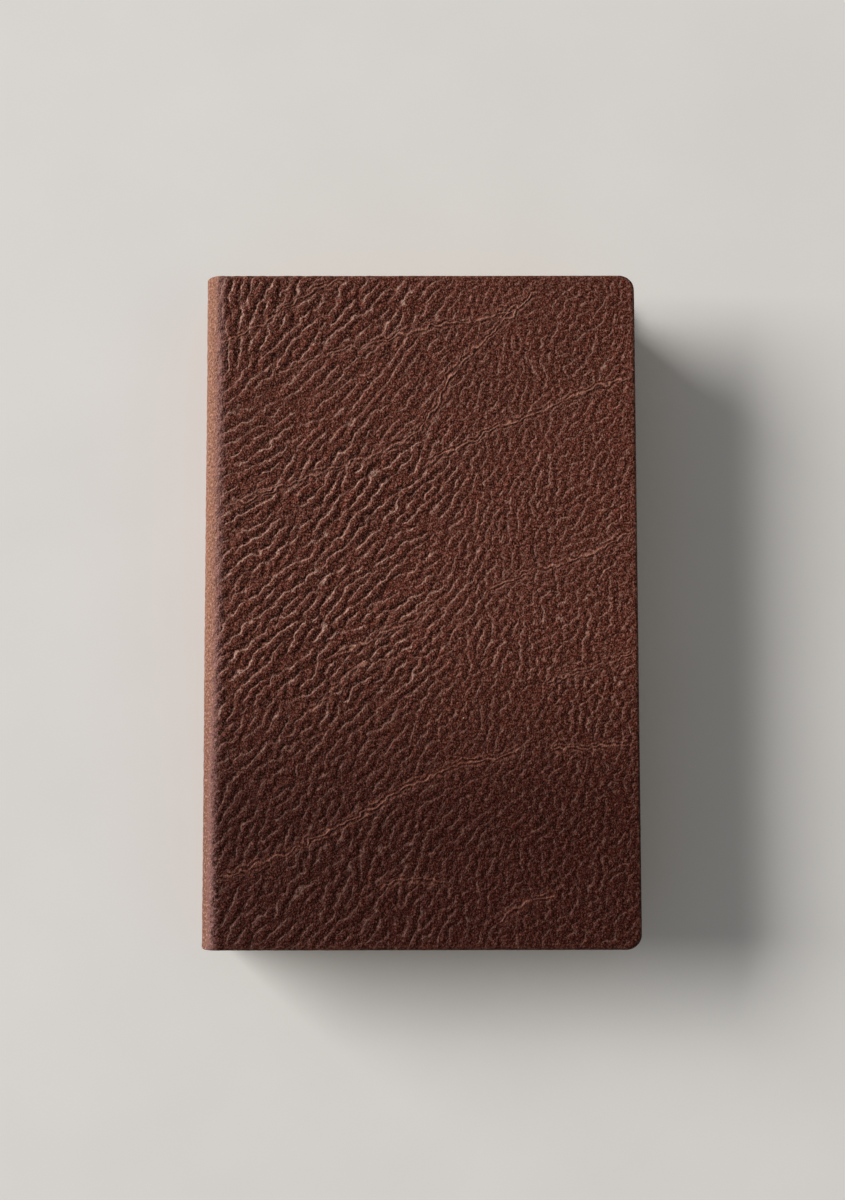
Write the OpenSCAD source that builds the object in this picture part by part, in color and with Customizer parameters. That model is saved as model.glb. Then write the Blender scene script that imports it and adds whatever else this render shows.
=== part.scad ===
// Leather-bound book, lying on its back cover.
// The origin is at the middle of the underside. X runs from the spine to the fore-edge,
// Y from the tail to the head, and Z up through the back cover, the pages and the front cover.
// The text block is rounded and backed: its folds make two shoulders, and each board sits
// against one of them, so the leather runs from a cover over the shoulder without a groove.

/* [Text block] */
// Width of a page from its fold to the fore-edge
page_w = 136.5; // [90:0.5:200]
// Height of a page from tail to head
page_h = 213; // [140:1:300]
// Thickness of all the pages between the two flyleaves
pages_t = 25.2; // [14:0.2:60]
// Radius of the page corners at the fore-edge
page_corner_r = 4; // [1:0.5:12]
// Depth of the hollow along the middle of the fore-edge
fore_hollow = 0.6; // [0.2:0.1:2]
// Folded sections that lie between the two shoulders
sections = 10; // [6:1:20]
// Depth of the valley between two section folds
fold_valley = 0.3; // [0.1:0.05:0.5]

/* [Sewing] */
// Sunken cords that the sections are sewn to
cords = 5; // [3:1:7]
// Thickness of a cord
cord_d = 1.6; // [1:0.1:2.4]
// Distance of the outer cords from the head and the tail of the pages
cord_margin = 22; // [12:1:40]
// Room around a cord in its sawn groove
cord_gap = 0.05; // [0.02:0.01:0.2]

/* [Endpapers] */
// Thickness of a flyleaf
fly_t = 0.3; // [0.1:0.05:0.6]
// Thickness of a pastedown
paste_t = 0.3; // [0.1:0.05:0.6]
// Width of leather left bare around a pastedown
paste_margin = 3; // [1:0.5:8]

/* [Covers] */
// Overhang of a cover past the page edges
square_w = 4; // [2.5:0.5:8]
// Thickness of a board
board_t = 2.2; // [1:0.1:4]
// Thickness of the leather
leather_t = 1; // [0.6:0.1:1.6]
// Thickness of the pared leather that is turned in
turnin_t = 0.6; // [0.4:0.1:1]
// Width of the turned-in leather
turnin_w = 14; // [8:1:24]
// Radius of the cover corners at the fore-edge
corner_r = 5; // [2:0.5:12]
// Radius of the leather where it rolls over a board edge
edge_r = 1.2; // [0.5:0.1:1.5]
// Width of the slit where two turn-ins meet in a mitre
mitre_w = 0.3; // [0.1:0.05:0.8]
// Room around the card that fills the space between the turn-ins
infill_gap = 0.2; // [0.1:0.05:0.6]

/* [Spine] */
// Radius of the shoulder where the spine turns into a cover
shoulder_r = 6.5; // [5:0.25:9]
// Slope of the rounded spine face where it meets a shoulder, in degrees
face_slope = 7; // [4:0.5:14]
// Thickness of the card that stiffens the spine leather
inlay_t = 0.6; // [0.3:0.1:1.2]
// Thickness of the flat paper tube between the card and the lining
tube_t = 0.4; // [0.2:0.1:0.8]
// Thickness of the cloth lining on the section folds
lining_t = 0.4; // [0.2:0.1:0.8]
// Gap in the leather and beside the boards along each joint
joint_gap = 0.3; // [0.2:0.05:0.6]
// Room at the ends of the tube and of the lining
layer_gap = 0.2; // [0.1:0.05:0.5]
// How far the leather caps reach in from the spine face
cap_depth = 4; // [3:0.25:6]
// Radius of the rolled edge of a cap
cap_r = 0.8; // [0.3:0.1:0.9]

/* [Headbands] */
// Thickness of a wound headband
band_d = 2.6; // [1.5:0.1:3]
// Spacing of the turns of thread on a headband
band_pitch = 1.2; // [0.8:0.1:1.6]
// Length of the cloth tab that is glued to the folds
band_tab = 9; // [5:0.5:16]
// Room between a headband and the page edges
band_gap = 0.05; // [0.02:0.01:0.3]

/* [Hidden] */

$fa = 3;
$fs = 0.3;
arc_steps = 10;
fold_steps = 4;
past = 1; // how far a cutting shape runs past what it cuts

leather_tone = "#5f392f";
board_tone = "#a88f66";
card_tone = "#c4b48f";
paper_tone = "#e6d9bb";
cloth_tone = "#d8cdb4";
thread_tone = "#b98a4a";

// Thicknesses built up from the layers
wrap_t = leather_t + board_t + turnin_t;
cover_t = wrap_t + paste_t;
book_t = pages_t + 2 * (fly_t + cover_t);
mid_z = book_t / 2;
page_bottom = cover_t + fly_t;
page_top = book_t - page_bottom;

// Layers of the spine, each one a depth below the leather's face
inlay_in = leather_t;
tube_in = inlay_in + inlay_t;
lining_in = tube_in + tube_t;
fold_in = lining_in + lining_t;
shoulder_in = leather_t + lining_t;

// Plan
book_h = page_h + 2 * square_w;
book_w = fold_in + page_w + square_w;
spine_x = -book_w / 2;
fore_x = book_w / 2;
page_fore = fore_x - square_w;

// Rounding of the spine: one wide arc that flows into the two shoulder arcs
flat_half = mid_z - shoulder_r;
arc_gap = flat_half / sin(face_slope);
face_r = shoulder_r + arc_gap;
face_cx = spine_x + face_r;

// Height of a shoulder's centre above the middle, and its place across,
// for a form that lies face_in below the spine face and top_in below the covers
function shoulder_z(face_in, top_in) = mid_z - top_in - (shoulder_r - face_in);
function shoulder_cx(face_in, top_in) =
    face_cx - sqrt(pow(arc_gap, 2) - pow(shoulder_z(face_in, top_in), 2));
function shoulder_angle(face_in, top_in) = asin(shoulder_z(face_in, top_in) / arc_gap);

hinge_x = shoulder_cx(0, 0);
cover_x = hinge_x + joint_gap;

function arc(centre, radius, from, to, steps) =
    [for (i = [0:steps]) let (a = from + (to - from) * i / steps)
        centre + radius * [cos(a), sin(a)]];

function top_shoulder(face_in, top_in) =
    arc([shoulder_cx(face_in, top_in), mid_z + shoulder_z(face_in, top_in)],
        shoulder_r - face_in, 90, 180 - shoulder_angle(face_in, top_in), arc_steps);

function bottom_shoulder(face_in, top_in) =
    [for (p = top_shoulder(face_in, top_in)) [p[0], book_t - p[1]]];

function reversed(points) = [for (i = [len(points) - 1:-1:0]) points[i]];

// The spine's section from the top plane round to the bottom plane
function spine_outline(face_in, top_in) =
    let (half = shoulder_angle(face_in, top_in) * (arc_steps - 1) / arc_steps)
        concat(
            top_shoulder(face_in, top_in),
            arc([face_cx, mid_z], face_r - face_in, 180 - half, 180 + half, 2 * arc_steps),
            reversed(bottom_shoulder(face_in, top_in))
        );

// Outline of the section folds: small arcs side by side between the shoulders
fold_half = shoulder_angle(fold_in, shoulder_in);
fold_step = 2 * fold_half / sections;
fold_width = 2 * (face_r - fold_in) * sin(fold_step / 2);
fold_r = (pow(fold_width / 2, 2) + pow(fold_valley, 2)) / (2 * fold_valley);
fold_spread = asin(fold_width / 2 / fold_r);

function fold_arc(i) =
    let (a = 180 - fold_half + (i + 0.5) * fold_step)
        arc([face_cx, mid_z] + (face_r - fold_in - fold_r) * [cos(a), sin(a)],
            fold_r, a - fold_spread * 0.94, a + fold_spread * 0.94, fold_steps);

fold_outline = concat(
    top_shoulder(fold_in, shoulder_in),
    [for (i = [0:sections - 1]) each fold_arc(i)],
    reversed(bottom_shoulder(fold_in, shoulder_in))
);

// Concave fore-edge of the pages
hollow_r = pow(pages_t / 2, 2) / (2 * fore_hollow) + fore_hollow / 2;
hollow_half = asin(pages_t / 2 / hollow_r);
fore_outline = arc([page_fore + hollow_r * cos(hollow_half), mid_z], hollow_r,
    180 + hollow_half, 180 - hollow_half, 2 * arc_steps);

// Extrudes an X-Z section along Y, from the tail to the head
module along_y(length) {
    rotate([90, 0, 0])
        linear_extrude(length, center = true)
            children();
}

// Keeps what lies on the spine side of x_limit
module spine_side(x_limit) {
    intersection() {
        children();
        translate([spine_x - past, -past])
            square([x_limit - spine_x + past, book_t + 2 * past]);
    }
}

// Filled section of the spine at the given depths, as far as x_limit
module spine_fill(face_in, top_in, x_limit) {
    outline = spine_outline(face_in, top_in);
    far_x = x_limit + past;
    spine_side(x_limit)
        polygon(concat(outline, [[far_x, top_in], [far_x, book_t - top_in]]));
}

// One curved layer of the spine between two depths, no higher than half_height
module spine_layer(from_in, to_in, half_height) {
    intersection() {
        difference() {
            spine_fill(from_in, from_in, hinge_x);
            spine_fill(to_in, to_in, hinge_x + past);
        }
        translate([spine_x - past, mid_z - half_height])
            square([shoulder_r + past, 2 * half_height]);
    }
}

// Outline of a sheet: square at the spine side x0, two round corners at the fore-edge x1
module sheet_outline(x0, x1, height, radius) {
    translate([x0, -height / 2])
        square([x1 - x0 - radius, height]);
    translate([x0, radius - height / 2])
        square([x1 - x0, height - 2 * radius]);
    for (side = [-1, 1])
        translate([x1 - radius, side * (height / 2 - radius)])
            circle(radius);
}

// A flat sheet with that outline, from height z up
module sheet_slab(x0, x1, height, radius, z, thickness) {
    translate([0, 0, z])
        linear_extrude(thickness)
            sheet_outline(x0, x1, height, radius);
}

// Turns a front-cover piece over into its back-cover twin
module to_back() {
    translate([0, 0, book_t])
        mirror([0, 0, 1])
            children();
}

// Section across a leather edge that is rolled over its board
module edge_section() {
    translate([-corner_r, 0])
        square([corner_r - edge_r, wrap_t]);
    translate([-edge_r, edge_r])
        square([edge_r, wrap_t - 2 * edge_r]);
    for (z = [edge_r, wrap_t - edge_r])
        translate([-edge_r, z])
            circle(edge_r);
}

// Solid outer form of a covered board: its section along three edges and round two corners
module wrapped_board() {
    straight_w = fore_x - corner_r - cover_x;
    straight_h = book_h - 2 * corner_r;
    translate([cover_x, -straight_h / 2, 0])
        cube([straight_w, straight_h, wrap_t]);
    translate([fore_x, 0, 0])
        along_y(straight_h)
            edge_section();
    for (side = [0, 1])
        mirror([0, side, 0]) {
            translate([cover_x, book_h / 2, 0])
                rotate([90, 0, 90])
                    linear_extrude(straight_w)
                        edge_section();
            translate([fore_x - corner_r, straight_h / 2, 0])
                rotate_extrude(angle = 90)
                    translate([corner_r, 0])
                        edge_section();
        }
}

// Slit between two turn-ins, from the corner of the window out to the corner's centre
module mitre_slit() {
    run = (turnin_w - corner_r) * sqrt(2);
    translate([fore_x - turnin_w, book_h / 2 - turnin_w, -past])
        rotate([0, 0, 45])
            translate([0, -mitre_w / 2, 0])
                cube([run, mitre_w, turnin_t + past]);
}

// Leather over a board and turned in round three edges
module cover_leather() {
    window_h = book_h - 2 * turnin_w;
    translate([0, 0, book_t - wrap_t])
        difference() {
            wrapped_board();
            sheet_slab(cover_x - past, fore_x - leather_t, book_h - 2 * leather_t,
                corner_r - leather_t, turnin_t, board_t);
            translate([cover_x - past, -window_h / 2, -past])
                cube([fore_x - turnin_w - cover_x + past, window_h, turnin_t + board_t / 2 + past]);
            mitre_slit();
            mirror([0, 1, 0])
                mitre_slit();
        }
}

module cover_board() {
    sheet_slab(cover_x, fore_x - leather_t, book_h - 2 * leather_t,
        corner_r - leather_t, book_t - leather_t - board_t, board_t);
}

// Card that levels the space between the turn-ins
module cover_infill() {
    inset = turnin_w + infill_gap;
    translate([cover_x, inset - book_h / 2, book_t - wrap_t])
        cube([fore_x - inset - cover_x, book_h - 2 * inset, turnin_t]);
}

module cover_pastedown() {
    sheet_slab(cover_x, fore_x - paste_margin, book_h - 2 * paste_margin,
        max(corner_r - paste_margin, edge_r), book_t - cover_t, paste_t);
}

module front_leather() {
    color(leather_tone)
        cover_leather();
}

module front_board() {
    color(board_tone)
        cover_board();
}

module front_infill() {
    color(card_tone)
        cover_infill();
}

module front_pastedown() {
    color(paper_tone)
        cover_pastedown();
}

module back_leather() {
    color(leather_tone)
        to_back()
            cover_leather();
}

module back_board() {
    color(board_tone)
        to_back()
            cover_board();
}

module back_infill() {
    color(card_tone)
        to_back()
            cover_infill();
}

module back_pastedown() {
    color(paper_tone)
        to_back()
            cover_pastedown();
}

// Section of the pages: folds and shoulders at the spine, then the flat leaves
module pages_section() {
    spine_side(hinge_x)
        polygon(concat(fold_outline,
            [[hinge_x + past, shoulder_in], [hinge_x + past, book_t - shoulder_in]]));
    polygon(concat([[hinge_x - past, page_top], [hinge_x - past, page_bottom]], fore_outline));
}

// Places of the cords along the spine
cord_run = page_h - 2 * cord_margin;
cord_places = [for (i = [0:cords - 1]) -cord_run / 2 + cord_run * i / (cords - 1)];
cord_arc_r = face_r - fold_in - cord_gap - cord_d / 2;
cord_half = asin(flat_half / (face_r - fold_in));

// Sawn groove across the folds for one cord
module cord_groove() {
    floor_in = fold_in + cord_d + 2 * cord_gap;
    along_y(cord_d + 2 * cord_gap)
        intersection() {
            difference() {
                spine_fill(0, 0, hinge_x);
                spine_fill(floor_in, floor_in, hinge_x + past);
            }
            translate([spine_x - past, mid_z - flat_half - cord_gap])
                square([shoulder_r, 2 * (flat_half + cord_gap)]);
        }
}

module text_block() {
    color(paper_tone)
        difference() {
            intersection() {
                along_y(page_h)
                    pages_section();
                sheet_slab(spine_x - past, page_fore, page_h, page_corner_r, -past, book_t + 2 * past);
            }
            for (y = cord_places)
                translate([0, y, 0])
                    cord_groove();
        }
}

module sewing_cords() {
    color(cloth_tone)
        for (y = cord_places)
            translate([face_cx, y, mid_z])
                rotate([90, 0, 0])
                    rotate([0, 0, 180 - cord_half])
                        rotate_extrude(angle = 2 * cord_half)
                            translate([cord_arc_r, 0])
                                circle(d = cord_d);
}

module front_flyleaf() {
    color(paper_tone)
        sheet_slab(hinge_x, page_fore, page_h, page_corner_r, page_top, fly_t);
}

module back_flyleaf() {
    color(paper_tone)
        to_back()
            sheet_slab(hinge_x, page_fore, page_h, page_corner_r, page_top, fly_t);
}

// Rolled end of the spine leather, past the straight part
module cap_roll() {
    sliver = 0.01;
    hull()
        for (a = [0:30:90])
            translate([0, book_h / 2 - cap_r + (cap_r - sliver) * sin(a), 0])
                rotate([-90, 0, 0])
                    mirror([0, 1, 0])
                        linear_extrude(sliver)
                            spine_fill(cap_r * (1 - cos(a)), cap_r * (1 - cos(a)), hinge_x);
}

// Leather over the spine and both shoulders, with a cap and a turn-in at the head and the tail
module spine_leather() {
    cap_x = spine_x + cap_depth;
    turn_y = book_h / 2 - leather_t - turnin_w / 2;
    color(leather_tone) {
        difference() {
            union() {
                along_y(book_h - 2 * cap_r)
                    spine_fill(0, 0, hinge_x);
                cap_roll();
                mirror([0, 1, 0])
                    cap_roll();
            }
            along_y(book_h - 2 * leather_t)
                spine_fill(leather_t, leather_t, hinge_x + past);
            along_y(book_h + 2 * past)
                intersection() {
                    spine_fill(leather_t, leather_t, hinge_x + past);
                    translate([cap_x, 0])
                        square([shoulder_r + past, book_t]);
                }
        }
        for (side = [-1, 1])
            translate([0, side * turn_y, 0])
                along_y(turnin_w)
                    spine_layer(tube_in, lining_in, flat_half);
    }
}

module spine_inlay() {
    color(card_tone)
        along_y(book_h - 2 * leather_t)
            spine_layer(inlay_in, tube_in, flat_half);
}

module hollow_tube() {
    color(card_tone)
        along_y(book_h - 2 * (leather_t + turnin_w + layer_gap))
            spine_layer(tube_in, lining_in, flat_half);
}

module spine_lining() {
    color(cloth_tone)
        along_y(page_h - 2 * (band_tab + layer_gap))
            difference() {
                spine_fill(lining_in, leather_t, hinge_x);
                spine_fill(fold_in, shoulder_in, hinge_x + past);
            }
}

// Headband: thread wound in beads round a core, on a cloth tab glued over the folds
band_bite = 0.1;
band_half = flat_half - band_d / 2;
band_arc_r = face_r - fold_in - band_d / 2 + band_bite;
band_turns = round(2 * band_half / band_pitch);
band_angle = asin(band_half / band_arc_r);

module headband() {
    band_y = page_h / 2 + band_gap + band_d / 2;
    color(thread_tone)
        for (i = [0:band_turns]) {
            a = 180 - band_angle + 2 * band_angle * i / band_turns;
            translate([face_cx + band_arc_r * cos(a), band_y, mid_z + band_arc_r * sin(a)])
                sphere(d = band_d);
        }
    color(cloth_tone)
        translate([0, band_y - (band_tab + band_d / 2) / 2, 0])
            along_y(band_tab + band_d / 2)
                spine_layer(lining_in, fold_in, band_half);
}

module head_band() {
    headband();
}

module tail_band() {
    mirror([0, 1, 0])
        headband();
}

front_leather();
front_board();
front_infill();
front_pastedown();
back_leather();
back_board();
back_infill();
back_pastedown();
text_block();
front_flyleaf();
back_flyleaf();
sewing_cords();
spine_leather();
spine_inlay();
hollow_tube();
spine_lining();
head_band();
tail_band();
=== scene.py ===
# %% [markdown]
# # An old book in wrinkled leather
# The book lies closed on its back cover. A single skin of goat leather covers both boards and
# the spine, and time has left it dark, rubbed and full of fine wrinkles.
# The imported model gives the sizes, and everything here is placed in its frame.
# Lengths are worked out in millimetres and turned into Blender's metres when a mesh is made.

# %% Load the frame
import math
import bpy
import bmesh
import numpy as np
from mathutils import Euler, Matrix, Vector


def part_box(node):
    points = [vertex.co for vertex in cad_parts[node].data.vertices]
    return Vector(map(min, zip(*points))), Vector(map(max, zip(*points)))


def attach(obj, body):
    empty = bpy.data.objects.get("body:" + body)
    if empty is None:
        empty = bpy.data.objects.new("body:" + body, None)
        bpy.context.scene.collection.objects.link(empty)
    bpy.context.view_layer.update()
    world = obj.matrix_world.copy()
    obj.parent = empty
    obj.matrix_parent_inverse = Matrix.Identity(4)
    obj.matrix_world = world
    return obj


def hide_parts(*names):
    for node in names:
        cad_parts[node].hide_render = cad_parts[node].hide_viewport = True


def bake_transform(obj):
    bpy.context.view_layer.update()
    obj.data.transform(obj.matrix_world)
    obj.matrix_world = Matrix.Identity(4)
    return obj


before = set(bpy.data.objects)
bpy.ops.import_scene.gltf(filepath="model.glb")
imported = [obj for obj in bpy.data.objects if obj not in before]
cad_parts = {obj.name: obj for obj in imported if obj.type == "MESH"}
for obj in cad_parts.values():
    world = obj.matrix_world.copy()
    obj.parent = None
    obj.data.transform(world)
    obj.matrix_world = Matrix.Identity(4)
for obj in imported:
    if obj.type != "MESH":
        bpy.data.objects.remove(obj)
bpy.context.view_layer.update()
MM = 0.001
print("nodes in the frame:", len(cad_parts))

# %% [markdown]
# ## The sizes that the pieces share
# The boxes of the solids give most sizes, so the skin fits whatever was packed. The thicknesses of
# leather, board and paper can't be read from a box, and are named here once.

# %% Sizes of the book
def box_mm(node):
    low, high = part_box(node)
    return np.array(low) / MM, np.array(high) / MM

cover_low, cover_high = box_mm("front_leather")
spine_low, spine_high = box_mm("spine_leather")
page_fore, page_half_h = box_mm("text_block")[1][:2]
fore_x, half_h, book_t = cover_high
cover_x = cover_low[0]
spine_x = spine_low[0]
hinge_x = spine_high[0]
mid_z = book_t / 2
leather_t = 1.0
board_t = 2.2
turnin_t = 0.6
turnin_w = 14.0
wrap_t = leather_t + board_t + turnin_t
paste_t = 0.3
fly_t = 0.3
edge_r = 1.2
corner_r = 5.0
shoulder_r = 6.5
face_slope = math.radians(7)
flat_half = mid_z - shoulder_r
face_r = shoulder_r + flat_half / math.sin(face_slope)
face_cx = spine_x + face_r
print("book in mm:", np.round([fore_x - spine_x, 2 * half_h, book_t], 2))

# %% [markdown]
# ## The camera
# The camera looks almost straight down, from a little towards the tail. Its place was worked out
# from the four corners of the cover, so that a point of the picture can be put on the cover.

# %% Camera
camera_place = Vector((0.0002, -0.04278, 0.5758))
camera_turn = Euler([math.radians(a) for a in (4.76, -0.08, -0.09)])
lens_mm = 50
sensor_mm = 36
picture_w, picture_h = 845, 1200
focal_px = lens_mm / sensor_mm * picture_h

camera_data = bpy.data.cameras.new("camera")
camera_data.lens = lens_mm
camera_data.sensor_width = sensor_mm
camera = bpy.data.objects.new("camera", camera_data)
camera.location = camera_place
camera.rotation_euler = camera_turn
bpy.context.scene.collection.objects.link(camera)
bpy.context.scene.camera = camera
bpy.context.scene.view_settings.view_transform = "Standard"

def on_cover(points):
    """Points of the picture, in pixels, as places in mm on the plane of the front cover."""
    turn = camera_turn.to_matrix()
    placed = []
    for px, py in points:
        ray = turn @ Vector((px - picture_w / 2, picture_h / 2 - py, -focal_px))
        reach = (book_t * MM - camera_place.z) / ray.z
        hit = camera_place + ray * reach
        placed.append((hit.x / MM, hit.y / MM))
    return np.array(placed)

head_corner = (634.6, 276.3)
print("head corner at the fore-edge, in mm:", np.round(on_cover([head_corner]), 1))

# %% [markdown]
# ## Floor and light
# A wide soft light stands low on the left, towards the head, as a window would. Low light brings
# out the wrinkles. A pale sky fills the shadows, so that colours look about as they are written.

# %% Floor
def new_mesh_object(name, bm, materials=(), smooth=True):
    """A finished bmesh, in mm, as an object in metres at the origin."""
    bmesh.ops.scale(bm, vec=(MM, MM, MM), verts=bm.verts)
    for face in bm.faces:
        face.smooth = smooth
    mesh = bpy.data.meshes.new(name)
    bm.to_mesh(mesh)
    bm.free()
    made = bpy.data.objects.new(name, mesh)
    bpy.context.scene.collection.objects.link(made)
    for material in materials:
        mesh.materials.append(material)
    return made

floor_half = 3000
bm = bmesh.new()
bmesh.ops.create_grid(bm, x_segments=4, y_segments=4, size=floor_half)
floor = new_mesh_object("floor", bm)
print("floor, in m:", 2 * floor_half * MM)

# %% Lamp and sky
lamp_azimuth = math.radians(160)
lamp_height = math.radians(27)
lamp_distance = 8.0
lamp_place = lamp_distance * Vector((math.cos(lamp_azimuth) * math.cos(lamp_height),
                                     math.sin(lamp_azimuth) * math.cos(lamp_height),
                                     math.sin(lamp_height)))
lamp = bpy.data.lights.new("window_light", "AREA")
lamp.shape = "RECTANGLE"
lamp.size = 5.54
lamp.size_y = 3.08
lamp.energy = 1028
lamp.color = (1, 0.98, 0.96)
window = bpy.data.objects.new("window_light", lamp)
window.location = lamp_place
window.rotation_euler = (-lamp_place).to_track_quat("-Z", "Y").to_euler()
bpy.context.scene.collection.objects.link(window)

sky_strength = 0.25
sky = bpy.data.worlds.new("sky")
sky.use_nodes = True
background = sky.node_tree.nodes["Background"].inputs
background["Color"].default_value = (1, 1, 1, 1)
background["Strength"].default_value = sky_strength
bpy.context.scene.world = sky
print("lamp at", lamp_distance, "m, sky strength", sky_strength)

# %% [markdown]
# ## Helpers for materials
# A material is a tree of nodes. These helpers add a node, set its values and link what feeds it,
# so that each finish below reads as a short recipe.

# %% Node helpers
def tone(red, green, blue):
    """A colour given in the 0 to 255 of a picture, as the linear colour that a shader wants."""
    linear = []
    for part in (red, green, blue):
        part = part / 255
        linear.append(part / 12.92 if part <= 0.04045 else ((part + 0.055) / 1.055) ** 2.4)
    return tuple(linear)

def is_socket(value):
    return isinstance(value, bpy.types.NodeSocket)

class Recipe:
    """Adds nodes to one material or group. A value may be a number, a colour or another socket."""

    def __init__(self, tree):
        self.tree = tree

    def feed(self, socket, value):
        if is_socket(value):
            self.tree.links.new(value, socket)
        elif isinstance(value, tuple) and socket.type == "RGBA":
            socket.default_value = (*value, 1)
        else:
            socket.default_value = value

    def add(self, kind, inputs, **settings):
        made = self.tree.nodes.new("ShaderNode" + kind)
        for key, value in settings.items():
            setattr(made, key, value)
        for key, value in inputs.items():
            self.feed(made.inputs[key], value)
        return made.outputs

    def math(self, operation, *values):
        return self.add("Math", dict(enumerate(values)), operation=operation)[0]

    def plus(self, first, second):
        return self.math("ADD", first, second)

    def minus(self, first, second):
        return self.math("SUBTRACT", first, second)

    def times(self, first, second):
        return self.math("MULTIPLY", first, second)

    def times_plus(self, first, second, third):
        return self.math("MULTIPLY_ADD", first, second, third)

    def ramp(self, value, low, high, out_low=0.0, out_high=1.0):
        """A soft step from one value to another between low and high."""
        return self.add("MapRange", {"Value": value, "From Min": low, "From Max": high,
                                     "To Min": out_low, "To Max": out_high},
                        interpolation_type="SMOOTHSTEP")[0]

    def hill(self, value, width):
        """exp(-(value / width) squared): 1 where the value is 0, falling away on both sides."""
        ratio = self.math("DIVIDE", value, width)
        return self.math("EXPONENT", self.times(self.times(ratio, ratio), -1))

    def noise(self, place, scale, detail=2.0, rough=0.5, distortion=0.0, output=0):
        return self.add("TexNoise", {"Vector": place, "Scale": scale, "Detail": detail,
                                     "Roughness": rough, "Distortion": distortion})[output]

    def scaled(self, vector, factor):
        return self.add("VectorMath", {0: vector, "Scale": factor}, operation="SCALE")[0]

    def axes(self, vector):
        return self.add("SeparateXYZ", {"Vector": vector})

    def stored(self, name):
        """Three numbers that were stored with each vertex."""
        return self.add("Attribute", {}, attribute_name=name)["Vector"]

    def object_mm(self):
        """Object coordinates in mm."""
        return self.scaled(self.add("TexCoord", {})["Object"], 1 / MM)

    def mix(self, amount, first, second):
        return self.add("Mix", {0: amount, 6: first, 7: second},
                        data_type="RGBA", blend_type="MIX", clamp_factor=True)[2]

    def coats(self, under, *coats):
        """Lays coats on a tone, each a mask, the share that it covers there, and its own tone."""
        under = under if is_socket(under) else tone(*under)
        for mask, share, over in coats:
            over = over if is_socket(over) else tone(*over)
            under = self.mix(self.times(mask, share), under, over)
        return under

def new_material(name):
    material = bpy.data.materials.new(name)
    material.use_nodes = True
    material.diffuse_color = (0.5, 0.4, 0.3, 1)
    return material, Recipe(material.node_tree), material.node_tree.nodes["Principled BSDF"]

def dress(recipe, shader, colour, roughness, relief, specular=0.5, sheen=0.0):
    """Feeds a finish to its shader. The relief is a height, its strength and its depth in mm."""
    height, strength, depth = relief
    bump = recipe.add("Bump", {"Strength": strength, "Distance": depth * MM, "Height": height})
    values = {"Base Color": colour, "Roughness": roughness, "Specular IOR Level": specular,
              "Sheen Weight": sheen, "Normal": bump["Normal"]}
    for key, value in values.items():
        recipe.feed(shader.inputs[key], value)

def count_nodes(made):
    """Prints how many nodes a material or a group has by now."""
    print(made.name, "nodes:", len(getattr(made, "node_tree", made).nodes))

print("mid grey of a picture, 128, as linear light:", round(tone(128, 128, 128)[0], 3))

# %% Floor material
floor_material, recipe, shader = new_material("pale_floor")
floor_cloud = recipe.noise(recipe.object_mm(), 0.02, 3)
floor_tone = recipe.coats((214, 212, 208), (floor_cloud, 1, (222, 220, 217)))
recipe.feed(shader.inputs["Base Color"], floor_tone)
recipe.feed(shader.inputs["Roughness"], 0.85)
floor.data.materials.append(floor_material)
count_nodes(floor_material)

# %% [markdown]
# ## The path of the leather
# On the real book one piece of leather starts at the front fore-edge, runs over the front board,
# rounds the shoulder, crosses the spine and ends at the back fore-edge. The same path is used
# here: a place on the leather is its run along the path and its height along the spine, as if the
# leather lay flat on the bench. Wrinkles worked out on the flat leather then follow every bend.

# %% Path round the book
flat_run = fore_x - edge_r - hinge_x
shoulder_run = shoulder_r * (math.pi / 2 - face_slope)
face_run = 2 * face_slope * face_r
wrap_run = 2 * (flat_run + shoulder_run) + face_run
rim_y = half_h - edge_r

def wrap_point(run):
    """Place (x, z), direction of the run and outward direction, in mm, after that run of leather."""
    run = np.asarray(run, float)
    on_back = run > wrap_run / 2
    t = np.where(on_back, wrap_run - run, run)
    bend = np.clip((t - flat_run) / shoulder_r, 0, math.pi / 2 - face_slope)
    angle = math.pi / 2 + bend
    x = np.where(t <= flat_run, fore_x - edge_r - t, hinge_x + shoulder_r * np.cos(angle))
    z = np.where(t <= flat_run, book_t, mid_z + flat_half + shoulder_r * np.sin(angle))
    past = t - flat_run - shoulder_run
    face_angle = math.pi - face_slope + past / face_r
    on_face = past > 0
    x = np.where(on_face, face_cx + face_r * np.cos(face_angle), x)
    z = np.where(on_face, mid_z + face_r * np.sin(face_angle), z)
    angle = np.where(on_face, face_angle, angle)
    z = np.where(on_back, book_t - z, z)
    angle = np.where(on_back, 2 * math.pi - angle, angle)
    along = np.stack([-np.sin(angle), np.cos(angle)], -1)
    out = np.stack([np.cos(angle), np.sin(angle)], -1)
    return np.stack([x, z], -1), along, out

print("leather from fore-edge to fore-edge, in mm:", round(wrap_run, 1))

# %% [markdown]
# ## The grain of the leather
# Old goatskin wrinkles in long broken ridges that lean across the cover, finer and steeper where
# the hide was thinner. Each ridge is the sum of many short waves laid down at random, all leaning
# as the hide does there. The waves give a phase, and the ridges are where the phase is zero.
# Softer bumps come from noise that holds only one size of detail.

# %% Lattice on the flat leather
lattice_step = 0.5
lattice_edge = 12.0
lattice_run = np.arange(-lattice_edge, wrap_run + lattice_edge, lattice_step)
lattice_y = np.arange(-half_h - lattice_edge, half_h + lattice_edge, lattice_step)
RUN, HIGH = np.meshgrid(lattice_run, lattice_y)

def smooth(low, high, value):
    t = np.clip((value - low) / (high - low), 0, 1)
    return t * t * (3 - 2 * t)

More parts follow.
